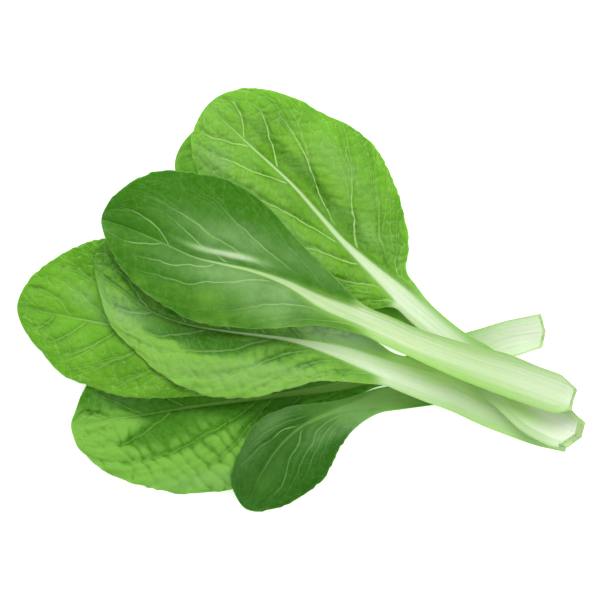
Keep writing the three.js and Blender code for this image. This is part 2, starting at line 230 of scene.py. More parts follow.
BOTTOM_LEAF_RIBS_MM = (
    (118.8, -24.3, 120.8, -16.3, 118.3, -7.3, 8.25),
    (108, -28, 105.5, -19, 103, -10.5, 8.5),
    (94.5, -31, 92.5, -23, 89.5, -14.5, 8.25),
    (79.5, -35, 77, -27, 74.5, -19, 7.5),
    (62, -40, 59.5, -33, 57.5, -26, 6.25),
    (46, -42, 44.5, -37, 42.5, -32, 4.5),
    (34, -45.3, 30.5, -40, 28, -36, 3.5),
    (19.5, -54, 17, -43.5, 12.5, -35, 3),
    (6, -69, 2, -46, -5.5, -26, 2.5),
    (-8.5, -84, -13, -48, -23.5, -20, 2),
    (-25.5, -93, -28, -50, -40.5, -18, 1.6),
    (-43.5, -96, -43, -52, -56.5, -18, 1.25),
    (-60.5, -97, -57.5, -54, -70.5, -20, 1),
    (-76, -94, -71.5, -56.5, -83.5, -24, 0.8),
    (-90, -90, -84.5, -58.5, -95, -30, 0.6),
    (-102, -83, -95.5, -60, -103.5, -36, 0.5),
    (-110.5, -75, -104.5, -62, -109, -46, 0.4),
    (-114, -68, -111, -63, -113, -56, 0.3),
    (-115, -62, -115, -62, -115, -62, 0.2),
)
SMALL_LEAF_RIBS_MM = (
    (109.5, -49, 110.5, -43, 111.5, -37, 6),
    (89.5, -52, 90, -45, 90.5, -38, 6.5),
    (73, -52, 72, -46, 71, -39, 6.25),
    (60.5, -53.5, 58.5, -48, 56.5, -42, 5.75),
    (49.5, -55, 48, -49, 46.5, -43, 5.25),
    (40, -56.5, 37.5, -50.5, 37.5, -44.5, 4),
    (32, -60.5, 27, -53, 28, -47.5, 3),
    (25.5, -66, 17, -56, 17.5, -50.5, 2.3),
    (20.5, -73, 8, -59.5, 5, -52, 1.8),
    (16, -81, -0.5, -64, -6, -53.5, 1.45),
    (11.5, -89, -7.5, -70, -16.5, -57.5, 1.15),
    (4, -96, -13.5, -77, -25, -64.5, 0.9),
    (-5.5, -102, -18, -84, -30, -74, 0.7),
    (-15, -105, -22, -91.5, -34, -83, 0.5),
    (-22.5, -106, -25, -98, -35, -92, 0.4),
    (-29.5, -103, -29.5, -103, -29.5, -103, 0.2),
)
BACK_LEAF_RIBS_MM = (
    (119.5, -61, 122.5, -55, 125.5, -49, 6),
    (102, -51, 105.5, -45, 109, -39, 6.5),
    (84.5, -40, 88.5, -34, 92.5, -28, 6.25),
    (67.5, -27, 72, -21, 76.5, -16, 5.75),
    (53, -17, 58.5, -10, 63.5, -5, 5),
    (40.5, -13, 48.5, -1, 54.5, 5, 4),
    (25.5, -7, 37, 9, 48, 17, 3.25),
    (8.5, 4, 22, 23, 43.5, 38, 2.5),
    (-8, 17, 5.5, 38, 31.5, 60, 2),
    (-24.5, 29, -10.5, 51, 16.5, 75, 1.6),
    (-37.5, 39, -25.5, 62, -1.5, 86, 1.2),
    (-48.5, 47, -38.5, 70, -21.5, 93, 0.9),
    (-57, 54, -48.5, 74, -36.5, 92, 0.6),
    (-62.5, 62, -56, 75, -49, 88, 0.4),
    (-63, 69, -60, 74, -57, 81, 0.3),
    (-61, 75, -61, 75, -61, 75, 0.2),
)

# The CAD grid: its stations to a rib of the plan, the shares of its columns across one half, the most of a
# half that the rib takes, the thickness of its blade, and how close in plan two points are one station
STATIONS_PER_RIB = 2
COLUMN_RIB_SHARE = (0, 0.5, 1, 1, 1, 1)
COLUMN_BLADE_SHARE = (0, 0, 0, 0.33, 0.67, 1)
COLUMNS = len(COLUMN_RIB_SHARE) - 1
RIB_MOST_OF_HALF = 0.74
CAD_BLADE_MM = 1.4
SAME_PLACE_MM = 0.02

# What leaves share where their own entry says nothing else
COMMON_LOOK = dict(shaded_side=0, end=0.75, crowd=(3.5, 9.0), rib_pale=(0.7, 5.0), cut_back=0,
                   shades=(), sheens=(), shade_flushes=())

# Each leaf, named as its CAD node
# ribs, rows, half, seed: its plan, rows of faces to a rib of it, columns to a half, and seed of its noise
# relief, quilt, ladder: strengths of all relief on the blade, of the puckers in it and of the rungs in those
# whiten, end: how whitish the rib and the stalk are, and how whitish the stalk is at its cut end
# net, vein, bloom_and_sheen: how strongly the net, the side veins and the waxy bloom show; the
# bloom's broad grey-green patches also stand in for painted sheen
# crowd: gaps between side veins, in millimetres, over which they fade in
# left, right: side veins as place on the midrib, place at the margin and, where it has its own, bend
# tone: lightness of the blade, then how much it grows to the tip, to the left and to the margin
# rib_pale: half widths of the rib, in millimetres, over which it turns from a vein into pale stalk
# shaded_side, cut_back: side on which the stalk is painted greener as shade, and millimetres its cut's top
# edge is set back
# shades, sheens, folds, shade_flushes: soft spots that lighten or darken the blade, partly as its own tone
# and partly as painted shade, shadow and light, give it a painted sheen, lift or sink it, or paint the stalk
# green where shade falls, as distance from the cut, distance to the right of the midrib, run and width in
# millimetres, and strength
# pale, dark, light, stalk: colours of the veins, of the darkest and lightest blade and of the stalk
LEAVES = {
    "bottom_leaf": dict(
        COMMON_LOOK, ribs=BOTTOM_LEAF_RIBS_MM, rows=19, half=56, seed=11,
        relief=1.7, quilt=0.45, ladder=2.0, whiten=0.12, end=1.0, net=0.6, vein=0.45, bloom_and_sheen=0.05,
        left=((7, 9.6), (8.2, 10.8), (9.2, 12.2), (9.7, 16.4, 1.3), (12.5, 17.3), (14.6, 17.7)),
        right=((7, 10), (8.6, 12.4), (10.2, 14.2), (12, 16), (13.6, 17), (15.2, 17.7)),
        tone=(0.35, 0.15, 0.15, 0.1), rib_pale=(2.5, 7.0),
        shades=((150, 0, 48, 11, -1.1), (205, 12, 26, 9, -1.2), (200, -13, 20, 8, -0.5),
                (150, 14, 60, 9, -0.8), (228, -8, 18, 14, 1.5), (185, -36, 34, 8, 0.5)),
        sheens=((170, -38, 30, 5, 0.4), (212, 10, 12, 6, 0.3)),
        folds=((195, -24, 30, 7, 0.8), (205, -12, 22, 3.5, -0.6)),
        shade_flushes=((108, 0, 44, 12, 1.0),),
        pale=(0.24, 0.47, 0.08), dark=(0.038, 0.175, 0.001),
        light=(0.185, 0.42, 0.055), stalk=(0.68, 0.8, 0.52)),
    "small_leaf": dict(
        COMMON_LOOK, ribs=SMALL_LEAF_RIBS_MM, rows=14, half=48, seed=23,
        relief=1.7, quilt=0.2, ladder=0.3, whiten=0.15, end=0.3, net=0.3, vein=0.7, bloom_and_sheen=0.06,
        left=((2.6, 7.6, 0.9), (3.2, 9.4, 0.9), (3.9, 11.2, 0.9), (4.9, 12.5, 0.9), (6.4, 13.6, 0.9),
              (8.6, 14.3, 0.9)),
        right=((2.6, 7.0, 0.9), (3.2, 8.8, 0.9), (3.9, 10.6, 0.9), (4.9, 12.2, 0.9), (6.4, 13.4, 0.9),
               (8.6, 14.2, 0.9)),
        tone=(0.35, -0.35, 0.0, 0.0), rib_pale=(2.5, 7.0), crowd=(1.0, 3.0),
        shades=((75, 0, 28, 14, 0.9), (125, 8, 22, 7, -0.3)),
        sheens=((78, -3, 22, 7, 0.6), (95, -10, 25, 4, 0.5), (125, 12, 20, 5, 0.35)),
        folds=((120, -6, 30, 3, 0.4),),
        shade_flushes=((45, 0, 45, 12, 0.5),),
        pale=(0.17, 0.38, 0.09), dark=(0.02, 0.105, 0.004),
        light=(0.07, 0.215, 0.012), stalk=(0.2, 0.45, 0.08)),
    "left_leaf": dict(
        COMMON_LOOK, ribs=LEFT_LEAF_RIBS_MM, rows=13, half=56, seed=37,
        relief=1.05, quilt=1.15, ladder=0.6, whiten=1.0, net=1.2, vein=0.55, bloom_and_sheen=0.05,
        left=((6, 8.8), (7.5, 10.5), (9, 12.2), (10.3, 13.6), (11.6, 15), (12.8, 16.2), (14, 17),
              (15.3, 17.6)),
        right=((6, 8.8), (7.6, 10.7), (9.2, 12.6), (10.6, 14), (12, 15.4), (13.2, 16.5), (14.5, 17.3)),
        tone=(0.4, 0.1, 0.0, 0.1),
        shades=((243, 10, 10, 9, 0.5), (236, 31, 14, 7, -0.4), (222, -20, 14, 8, -0.3),
                (262, 0, 10, 12, 0.2)),
        sheens=((242, 12, 9, 7, 0.4), (228, 4, 10, 5, 0.25)),
        folds=((240, 10, 12, 9, 0.7), (186, 5, 26, 27, -0.5)),
        pale=(0.3, 0.54, 0.12), dark=(0.06, 0.22, 0.002),
        light=(0.145, 0.385, 0.018), stalk=(0.56, 0.7, 0.42)),
    "back_leaf": dict(
        COMMON_LOOK, ribs=BACK_LEAF_RIBS_MM, rows=11, half=36, seed=41,
        relief=0.6, quilt=0.6, ladder=0.5, whiten=1.0, net=0.8, vein=0.4, bloom_and_sheen=0.1,
        left=((5, 7), (6.4, 9), (7.8, 10.8), (9.2, 12.4), (10.6, 13.4), (12, 14.3)),
        right=((5, 7), (6.4, 9), (7.8, 10.8), (9.2, 12.4), (10.6, 13.4), (12, 14.3)),
        tone=(0.4, 0.1, 0.0, 0.1),
        folds=((187, 15, 14, 10, -0.4),),
        pale=(0.28, 0.5, 0.12), dark=(0.08, 0.27, 0.006),
        light=(0.21, 0.48, 0.045), stalk=(0.56, 0.7, 0.42)),
    "middle_leaf": dict(
        COMMON_LOOK, ribs=MIDDLE_LEAF_RIBS_MM, rows=17, half=60, seed=53,
        relief=1.5, quilt=0.85, ladder=0.7, whiten=0.8, net=1.0, vein=0.5, bloom_and_sheen=0.08,
        left=((8, 9.6), (9, 12), (10.2, 14.8), (11.5, 17.5, 1.0), (13.6, 18, 1.0), (15.6, 18.5, 1.0)),
        right=((8.6, 9.7), (9.6, 11.1), (10.6, 12.7), (11.8, 14.3), (13, 15.8), (14.4, 17.1), (15.8, 18.1)),
        tone=(0.35, 0.1, 0.2, 0.2), rib_pale=(1.5, 6.0),
        shades=((222, 15, 30, 6, -0.8), (192, -6.5, 36, 6, -0.7), (160, -22, 45, 8, 0.5),
                (120, 14, 30, 8, 2.2), (175, 4, 40, 3, -0.6), (205, -14, 20, 3, 0.4)),
        sheens=((234, -9, 15, 7, 0.7), (122, 9, 20, 7, 1.6), (170, -22, 30, 5, 0.4), (150, -15, 22, 3, 0.4)),
        folds=((200, -13, 30, 3.5, 0.9), (192, -7, 34, 3.5, -0.9), (165, -17, 24, 2.6, 0.6),
               (165, -12.5, 24, 2.2, -0.5)),
        shade_flushes=((55, 8, 55, 8, 1.2), (20, -6, 30, 6, 0.5), (78, 9, 24, 3, 0.9)),
        pale=(0.3, 0.5, 0.16), dark=(0.033, 0.17, 0.001),
        light=(0.2, 0.45, 0.05), stalk=(0.74, 0.85, 0.63)),
    "top_leaf": dict(
        COMMON_LOOK, ribs=TOP_LEAF_RIBS_MM, rows=18, half=64, seed=67,
        relief=1.4, quilt=1.1, ladder=0.35, whiten=1.0, end=1.0, net=1.1, vein=0.95, bloom_and_sheen=0.2,
        left=((7.2, 8.6), (7.9, 10.3), (9, 12.3), (10, 15.8), (12.2, 17.2, 1.0), (14.2, 17.6, 1.0)),
        right=((7.2, 10.2, 1.4), (7.7, 12.9, 1.4), (9.5, 14.1, 1.25), (9.9, 16.7, 0.75), (12.9, 17.3, 1.0),
               (14.6, 17.7, 1.0)),
        tone=(0.4, 0.15, 0.0, 0.05), shaded_side=1, cut_back=2.6,
        shades=((185, 9, 40, 3, -1.3), (205, -6, 26, 2.5, -0.8), (205, -6, 20, 5, 0.4),
                (228, 0, 14, 12, 0.4), (150, 22, 16, 5, -0.3)),
        sheens=((226, -17, 13, 8, 0.55), (172, -21, 22, 7, 0.6), (192, 27, 20, 6, 0.35),
                (150, 14, 12, 6, 0.3)),
        folds=((188, 9, 26, 4.5, -0.5), (180, 17, 24, 4.5, 0.7), (205, -8, 22, 6, 0.5)),
        shade_flushes=((36, -3, 20, 5, 0.9), (22, 5, 14, 3, 0.3)),
        pale=(0.38, 0.62, 0.17), dark=(0.07, 0.235, 0.003),
        light=(0.15, 0.395, 0.018), stalk=(0.66, 0.79, 0.55)),
    "front_leaf": dict(
        COMMON_LOOK, ribs=FRONT_LEAF_RIBS_MM, rows=16, half=64, seed=79,
        relief=0.8, quilt=0.12, ladder=0.1, whiten=0.7, end=0.5, net=0.28, vein=0.6, bloom_and_sheen=0.06,
        left=((8.9, 11.2, 1.3), (10, 13.8, 1.4), (11.5, 17.2, 1.05), (13.3, 18.2, 1.0), (15.2, 18.7, 1.0)),
        right=((8.2, 10.2), (8.8, 12.4, 1.1), (9.3, 15, 0.85), (11, 17.4, 0.78), (12.9, 18.3, 1.0),
               (14.8, 18.7, 1.0)),
        tone=(0.95, -1.0, 0.3, -0.1), rib_pale=(0.7, 4.5), shaded_side=-1,
        shades=((187, 2.4, 15, 1.2, -0.5), (200, 33, 30, 9, -0.25), (232, 0, 16, 20, -0.2)),
        sheens=((187, 14, 22, 8, 0.75), (190, -5, 22, 6, 0.55), (168, -8, 24, 9, 0.4),
                (158, -16, 18, 8, 0.35), (146, 13, 24, 7, 0.3), (150, -5, 16, 4, 0.5),
                (190, 5.3, 15, 1.3, 2.2), (176, 5.6, 12, 1.6, 1.4)),
        folds=((187, 5.2, 14, 1.8, 1.0), (182, 2.2, 14, 1.3, -0.5)),
        shade_flushes=((80, -9, 70, 5, 0.35),),
        pale=(0.36, 0.58, 0.2), dark=(0.032, 0.16, 0.001),
        light=(0.145, 0.34, 0.028), stalk=(0.58, 0.74, 0.42)),
}
LEFT, RIGHT = -1, 1


def curve_through(points, places):
    """A uniform Catmull-Rom curve: between points it is the cubic whose slope at each point is half the
    step between that point's neighbours, with the line of points run straight on at both ends."""
    points = np.asarray(points, float)
    last = len(points) - 1
    padded = np.vstack([2 * points[0] - points[1], points, 2 * points[-1] - points[-2]])
    places = np.clip(np.asarray(places, float), 0, last)
    i = np.minimum(places.astype(int), last - 1)
    f = (places - i)[:, None]
    before, start, end, after = padded[i], padded[i + 1], padded[i + 2], padded[i + 3]
    slope_in, slope_out = (end - before) / 2, (after - start) / 2
    return ((2 * f**3 - 3 * f**2 + 1) * start + (f**3 - 2 * f**2 + f) * slope_in
            + (-2 * f**3 + 3 * f**2) * end + (f**3 - f**2) * slope_out)


def smooth_step(value, start=0, end=1):
    """0 at start, 1 at end, and 3x² - 2x³ at a share x of the way between."""
    x = np.clip((value - start) / (end - start), 0, 1)
    return x * x * (3 - 2 * x)


def hashed(i, j, seed):
    """A number from 0 to 1 for each pair of whole numbers: the fraction of a large sine."""
    return np.modf(np.abs(np.sin(i * 127.1 + j * 311.7 + seed * 74.7) * 43758.5453))[0]


def soft_noise(x, y, size, seed):
    """Value noise from -1 to 1: hashed corners of a square grid, blended by smooth steps."""
    x, y = x / size, y / size
    i, j = np.floor(x), np.floor(y)
    u, v = smooth_step(x - i), smooth_step(y - j)
    low = hashed(i, j, seed) * (1 - u) + hashed(i + 1, j, seed) * u
    high = hashed(i, j + 1, seed) * (1 - u) + hashed(i + 1, j + 1, seed) * u
    return 2 * (low * (1 - v) + high * v) - 1


def cell_gap(x, y, size, seed):
    """Distance from the border between the nearest two of scattered points, one to a square of the grid:
    the second nearest distance less the nearest, in the units of size."""
    x, y = x / size, y / size
    i, j = np.floor(x), np.floor(y)
    nearest = np.full(x.shape, 9.0)
    second = np.full(x.shape, 9.0)
    for di in (-1, 0, 1):
        for dj in (-1, 0, 1):
            px = i + di + 0.15 + 0.7 * hashed(i + di, j + dj, seed)
            py = j + dj + 0.15 + 0.7 * hashed(i + di, j + dj, seed + 5)
            d = np.hypot(px - x, py - y)
            second = np.minimum(second, np.maximum(nearest, d))
            nearest = np.minimum(nearest, d)
    return (second - nearest) * size


class Plan:
    """A leaf seen from above, in millimetres, on rows (places along it, counted in ribs) by columns
    (-5 at the left edge, 0 in the middle, 5 at the right edge)."""

    def __init__(self, ribs, places, columns):
        ribs = np.asarray(ribs, float)
        last = len(ribs) - 1
        outline = np.vstack([ribs[:, 0:2], ribs[:last, 4:6][::-1]])
        self.places = places
        self.columns = columns
        self.middle = curve_through(ribs[:, 2:4], places)
        half_rib = curve_through(ribs[:, 6:7], places)
        left = curve_through(outline, places)
        right = curve_through(outline, 2 * last - places)
        at = np.abs(columns)
        steps = np.arange(COLUMNS + 1)
        rib_share = np.interp(at, steps, COLUMN_RIB_SHARE)
        blade_share = np.interp(at, steps, COLUMN_BLADE_SHARE)
        on_right = (columns > 0)[None, :, None]
        edge = np.where(on_right, right[:, None], left[:, None])
        middle = self.middle[:, None]
        self.half = np.maximum(np.linalg.norm(edge - middle, axis=2), TINY)
        self.rib = np.minimum(half_rib, RIB_MOST_OF_HALF * self.half)
        self.reach = self.rib * rib_share + (self.half - self.rib) * blade_share
        self.share = self.reach / self.half
        self.xy = middle + (edge - middle) * self.share[..., None]
        steps_mm = np.linalg.norm(np.diff(self.middle, axis=0), axis=1)
        self.along = np.concatenate([[0], np.cumsum(steps_mm)])


def node_heights(node, ribs):
    """Top and thickness of a CAD leaf at the stations of its own grid, in millimetres: the highest and the
    lowest of the node's vertices that share a station's place in plan."""
    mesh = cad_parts[node].data
    points = np.empty(len(mesh.vertices) * 3)
    mesh.vertices.foreach_get("co", points)
    points = points.reshape(-1, 3) / MM
    places = np.arange((len(ribs) - 1) * STATIONS_PER_RIB + 1) / STATIONS_PER_RIB
    plan = Plan(ribs, places, np.arange(-COLUMNS, COLUMNS + 1.0))
    away = np.linalg.norm(plan.xy.reshape(-1, 1, 2) - points[None, :, :2], axis=2)
    close = away < away.min(axis=1)[:, None] + SAME_PLACE_MM
    top = np.where(close, points[:, 2], -np.inf).max(axis=1).reshape(plan.half.shape)
    under = np.where(close, points[:, 2], np.inf).min(axis=1).reshape(plan.half.shape)
    thick = top - under
    thick[0] = thick[1]
    return top, thick


def between_stations(values, places, columns):
    """The values of the CAD grid carried to finer rows and columns by curves along it and then across it."""
    along = curve_through(values, places * STATIONS_PER_RIB)
    return curve_through(along.T, columns + COLUMNS).T


def vein_phase(plan, left, right):
    """Side veins as one smooth number per point, whole on each vein: at a share u of the way out, vein k
    lies at the place start + (end - start) · u^bend, where the bend is its own or the common one, and the
    number is interpolated between those places."""
    phase = np.zeros(plan.half.shape)
    rows = np.arange(len(plan.places))
    for side, veins in ((LEFT, left), (RIGHT, right)):
        curves = [(*vein, VEIN_BEND)[:3] for vein in veins]
        starts, ends, bends = (np.asarray(v, float)[:, None] for v in zip(*curves))
        numbers = np.concatenate([[-0.5], np.arange(len(veins)), [len(veins) - 0.5]])
        for j in np.flatnonzero(plan.columns * side >= 0):
            blade = np.maximum(plan.half[:, j] - plan.rib[:, j], TINY)
            out = np.clip((plan.share[:, j] * plan.half[:, j] - plan.rib[:, j]) / blade, 0, 1)
            at = starts + (ends - starts) * out ** bends
            at = np.vstack([at[:1] - BEYOND_OUTER_VEIN, at, at[-1:] + BEYOND_OUTER_VEIN])
            above = (at <= plan.places).sum(axis=0).clip(1, len(at) - 1)
            low, high = at[above - 1, rows], at[above, rows]
            share = np.clip((plan.places - low) / np.maximum(high - low, TINY), 0, 1)
            phase[:, j] = numbers[above - 1] + share * (numbers[above] - numbers[above - 1])
    return phase


def vein_gap(plan, phase):
    """How many millimetres the number of vein_phase takes to grow by one: one over its slope, which comes
    from its steps along the two directions of the grid."""
    run = np.gradient(plan.xy, axis=0)
    across = np.gradient(plan.xy, axis=1)
    grow_run, grow_across = np.gradient(phase, axis=0), np.gradient(phase, axis=1)
    area = run[..., 0] * across[..., 1] - run[..., 1] * across[..., 0]
    area = np.where(np.abs(area) < TINY, TINY, area)
    slope_x = (grow_run * across[..., 1] - grow_across * run[..., 1]) / area
    slope_y = (grow_across * run[..., 0] - grow_run * across[..., 0]) / area
    return np.clip(1 / np.maximum(np.hypot(slope_x, slope_y), 1e-3), *VEIN_GAP_MM)


def ridge(distance, width):
    """A rounded ridge: 1 on the line, falling as the bell curve of distance over width."""
    return np.exp(-(distance / width) ** 2)


def forks(phase, gap, out, seed):
    """Distance in millimetres from the forks of the side veins: each vein sends two branches to either
    side, which leave it at shares of the way out that a sine of its number sets, and drift away from it."""
    number = np.round(phase)
    nearest = np.full(phase.shape, np.inf)
    for turn, order, reach in FORKS:
        wave = np.sin(FORK_PACE * number + turn + order + seed)
        start = FORK_START + FORK_SPREAD * wave + FORK_STAGGER * order
        drift = turn * reach * smooth_step(out, start, start + FORK_LENGTH)
        away = np.abs(phase - number - drift) * gap + np.maximum(start - out, 0) * FORK_FADE_MM
        nearest = np.minimum(nearest, away)
    return nearest


def rungs(phase, along, from_rib, x, y, seed):
    """Distance in millimetres from the cross veins that join neighbouring side veins: in each space between
    two of them a rung stands every few millimetres of the way along and out, moved by noise."""
    start = RUNG_START * hashed(np.floor(phase), 0, seed)
    slip = RUNG_SLIP * soft_noise(x, y, RUNG_SLIP_MM, seed + 31)
    place = (RUNG_SLOPE[0] * along + RUNG_SLOPE[1] * from_rib) / RUNG_MM + start + slip
    return np.abs(place - np.round(place)) * RUNG_MM


def spots(along, across, places):
    """Soft oval spots on a leaf: each is its strength times the bell curve of the distance from its place
    along and across the leaf, over its run and its width."""
    total = np.zeros(along.shape)
    for place, aside, run, width, strength in places:
        total += strength * np.exp(-((along - place) / run) ** 2 - ((across - aside) / width) ** 2)
    return total


def leaf_fields(plan, leaf):
    """What every point of a leaf knows: distances in millimetres from its veins, margin, rib and cut end,
    shares of the way along and out, and the strengths of the soft spots there."""
    x, y = plan.xy[..., 0], plan.xy[..., 1]
    seed = leaf["seed"]
    phase = vein_phase(plan, leaf["left"], leaf["right"])
    gap = vein_gap(plan, phase)
    wander = sum(strength * soft_noise(x, y, size, seed + shift) for strength, size, shift in WANDER_MM)
    phase = phase + wander / np.maximum(gap, WANDER_GAP_MM)
    blade = plan.half - plan.rib
    from_rib = plan.reach - plan.rib
    out = np.clip(from_rib / np.maximum(blade, TINY), 0, 1)
    side = np.sign(plan.columns)
    along = np.broadcast_to(plan.along[:, None], plan.half.shape)
    across = plan.reach * side
    open_gap = smooth_step(gap, *leaf["crowd"])
    clear = RUNG_CLEAR_MM * (2 - open_gap - smooth_step(out, 0, 0.2))
    strength, size = WARP_MM
    warp_x, warp_y = (strength * soft_noise(x, y, size, seed + shift) for shift in (0, 1))
    fields = dict(
        x=x, y=y, out=out, along=along, across=across, far=along / plan.along[-1], lean=side * plan.share,
        phase=phase, gap=gap, open_gap=open_gap, from_vein=np.abs(phase - np.round(phase)) * gap,
        from_fork=forks(phase, gap, out, seed), from_rung=rungs(phase, along, from_rib, x, y, seed) + clear,
        from_rib=from_rib, rib=plan.rib, to_margin=plan.half - plan.reach,
        blade=smooth_step(blade, *BLADE_MM), wing=smooth_step(blade, *WING_MM),
        cell=cell_gap(x + warp_x, y + warp_y, PUCKER_MM, seed),
        small_cell=cell_gap(x + warp_y, y + warp_x, SMALL_PUCKER_MM, seed + 3))
    for name, places in (("shade", "shades"), ("sheen", "sheens"), ("flush", "shade_flushes"), ("folds", "folds")):
        fields[name] = spots(along, across, leaf[places])
    return fields


def leaf_relief(f, leaf, sizes):
    """How far the top of a leaf stands off its smooth sheet, in millimetres: pillows between the side
    veins, their forks and the net, a groove with a thin ridge on each vein, folds, ruffles that grow
    towards the margin, and fine ribs along the stalk."""
    seed = leaf["seed"]
    strength = f["blade"] * smooth_step(f["from_rib"], 0, 2.5) * leaf["relief"]
    fade = (1 - 0.5 * f["out"]) * f["open_gap"]
    groove = sum(share * ridge(f["from_vein"], width) for share, width in GROOVE_MM)
    branch = f["open_gap"] * 0.5 * ridge(f["from_fork"], BRANCH_MM) * smooth_step(f["out"], 0, 0.3)
    thread = 0.5 * ridge(f["from_vein"], THREAD_MM) + 0.25 * ridge(f["from_fork"], THREAD_MM)
    veins = sizes.vein_depth / MM * strength * (fade * (0.3 - groove + thread) - branch)
    pillows = np.tanh(f["cell"] / 0.9) - 0.6 + 0.35 * np.tanh(f["small_cell"] / 0.5)
    pillows = pillows - leaf["ladder"] * (ridge(f["from_rung"], RUNG_WIDTH_MM) - 0.3)
    inner = smooth_step(f["to_margin"], -1.5, 3.5)
    puckers = leaf["quilt"] * strength * inner * sizes.pucker_height / MM * pillows
    ripple = soft_noise(f["along"], f["across"] * 0.4, RUFFLE_MM, seed + 7)
    fine = soft_noise(f["along"], f["across"], FINE_RUFFLE_MM, seed + 8)
    ruffle = f["blade"] * sizes.ruffle_height / MM * np.exp(-f["to_margin"] / RUFFLE_REACH_MM)
    ruffle = ruffle * (ripple + 0.45 * fine)
    swell = soft_noise(f["x"], f["y"], SWELL_MM, seed + 9) * smooth_step(f["from_rib"], 0, 10)
    swell = f["blade"] * SWELL_HEIGHT_MM * swell
    warp = 0.4 * soft_noise(f["along"], f["across"], 30, seed + 10)
    stripes = soft_noise(f["across"] + warp, f["along"] / STALK_RIB_RUN_MM, STALK_RIB_MM, seed + 11)
    on_stalk = smooth_step(f["from_rib"], 1.2, 0) * smooth_step(f["rib"], 0, 4)
    ribs = sizes.stalk_rib_height / MM * stripes * on_stalk
    return veins + puckers + ruffle + swell + ribs + f["folds"]


def shaped_normals(points):
    """Unit normals of a grid of points: the cross product of its two directions, pointing up."""
    normals = np.cross(np.gradient(points, axis=1), np.gradient(points, axis=0))
    length = np.linalg.norm(normals, axis=2, keepdims=True)
    return normals / np.maximum(length, 1e-12)


def leaf_plan(leaf):
    """The plan of a leaf on the fine rows and columns of its mesh."""
    ribs = leaf["ribs"]
    places = np.linspace(0, len(ribs) - 1, (len(ribs) - 1) * leaf["rows"] + 1)
    half = np.linspace(0, 1, leaf["half"] + 1)
    return Plan(ribs, places, np.concatenate([-half[:0:-1], half]) * COLUMNS)


def leaf_surfaces(leaf, node, sizes):
    """The top and underside of a leaf in millimetres, with its fields. The sheet follows the CAD heights,
    its relief stands off along the normals, and the underside lies below by the blade's thickness plus the
    depth of the rib, with the veins standing out of it."""
    plan = leaf_plan(leaf)
    top, thick = node_heights(node, leaf["ribs"])
    heights = between_stations(top, plan.places, plan.columns)
    depth = np.maximum(between_stations(thick, plan.places, plan.columns) - CAD_BLADE_MM, 0)
    f = leaf_fields(plan, leaf)
    teeth = soft_noise(f["along"], 0, TOOTH_MM, leaf["seed"] + 13) * np.exp(-f["to_margin"] / 2)
    teeth = f["blade"] * sizes.margin_tooth / MM * teeth
    outward = plan.xy - plan.middle[:, None]
    outward /= np.maximum(np.linalg.norm(outward, axis=2, keepdims=True), TINY)
    flat_sheet = plan.xy + outward * teeth[..., None]
    sheet = np.concatenate([flat_sheet, heights[..., None] - SHEET_BELOW_CAD_MM], axis=2)
    sheet[-1] = sheet[-1].mean(axis=0)
    before_tip = smooth_step(plan.places[-1] - plan.places, 0, 0.8)[:, None, None]
    normals = shaped_normals(sheet) * before_tip + np.array([0, 0, 1]) * (1 - before_tip)
    relief = leaf_relief(f, leaf, sizes)
    relief[-1] = relief[-1].mean()
    f["lift"] = relief
    surface = sheet + normals * relief[..., None]
    thin = sizes.blade_thickness / MM * (0.25 + 0.75 * smooth_step(f["to_margin"], 0, 1.5))
    stand = f["blade"] * min(leaf["relief"], 1) * smooth_step(f["from_rib"], 0, 2) * (1 - 0.6 * f["out"])
    veins_below = sizes.under_vein / MM * stand * ridge(f["from_vein"], 0.7)
    under = surface - normals * (thin + veins_below)[..., None]
    under[..., 2] = np.maximum(under[..., 2] - depth, LOWEST_MM)
    surface[..., 2] = np.maximum(surface[..., 2], under[..., 2] + THINNEST_MM)
    back = plan.middle[0] - plan.middle[1]
    back /= np.linalg.norm(back)
    end_share = smooth_step(f["along"], CUT_REACH_MM, 0)[..., None]
    surface[..., :2] -= end_share * leaf["cut_back"] * back
    under[..., :2] += end_share * CUT_SLANT_MM * back
    under[-1] = under[-1].mean(axis=0)
    return surface, under, f


def leaf_faces(rows, columns, cut_rows):
    """Corner lists of a closed leaf: its top and underside grids, whose last row is one point, the two
    margins between them, and the cut at the base. The underside's points follow the top's."""
    i, j = np.meshgrid(np.arange(rows - 2), np.arange(columns - 1), indexing="ij")
    here = (i * columns + j).ravel()
    quads = np.stack([here, here + 1, here + columns + 1, here + columns], axis=1)
    shift = (rows - 1) * columns + 1
    tip = shift - 1
    last = (rows - 2) * columns + np.arange(columns - 1)
    fan = np.stack([last, last + 1, np.full(columns - 1, tip)], axis=1)
    edge = np.arange(rows - 2) * columns
    left = np.stack([edge, edge + columns, edge + columns + shift, edge + shift], axis=1)
    edge = edge + columns - 1
    right = np.stack([edge + columns, edge, edge + shift, edge + columns + shift], axis=1)
    at_tip = (rows - 2) * columns
    ends = np.array([[at_tip, tip, tip + shift, at_tip + shift],
                     [tip, at_tip + columns - 1, at_tip + columns - 1 + shift, tip + shift]])
    bands = [np.arange(columns)]
    bands += [2 * shift + k * columns + np.arange(columns) for k in range(cut_rows)]
    bands.append(shift + np.arange(columns))
    cut = [np.stack([a[1:], a[:-1], b[:-1], b[1:]], axis=1) for a, b in zip(bands, bands[1:])]
    fours = np.vstack([quads, quads[:, ::-1] + shift, left, right, ends] + cut)
    threes = np.vstack([fan, fan[:, ::-1] + shift])
    return fours, threes


def flat_rows(grid):
    """A grid's points as a list, with its last row as one point."""
    return np.concatenate([grid[:-1].reshape(-1, *grid.shape[2:]), grid[-1:, 0]])


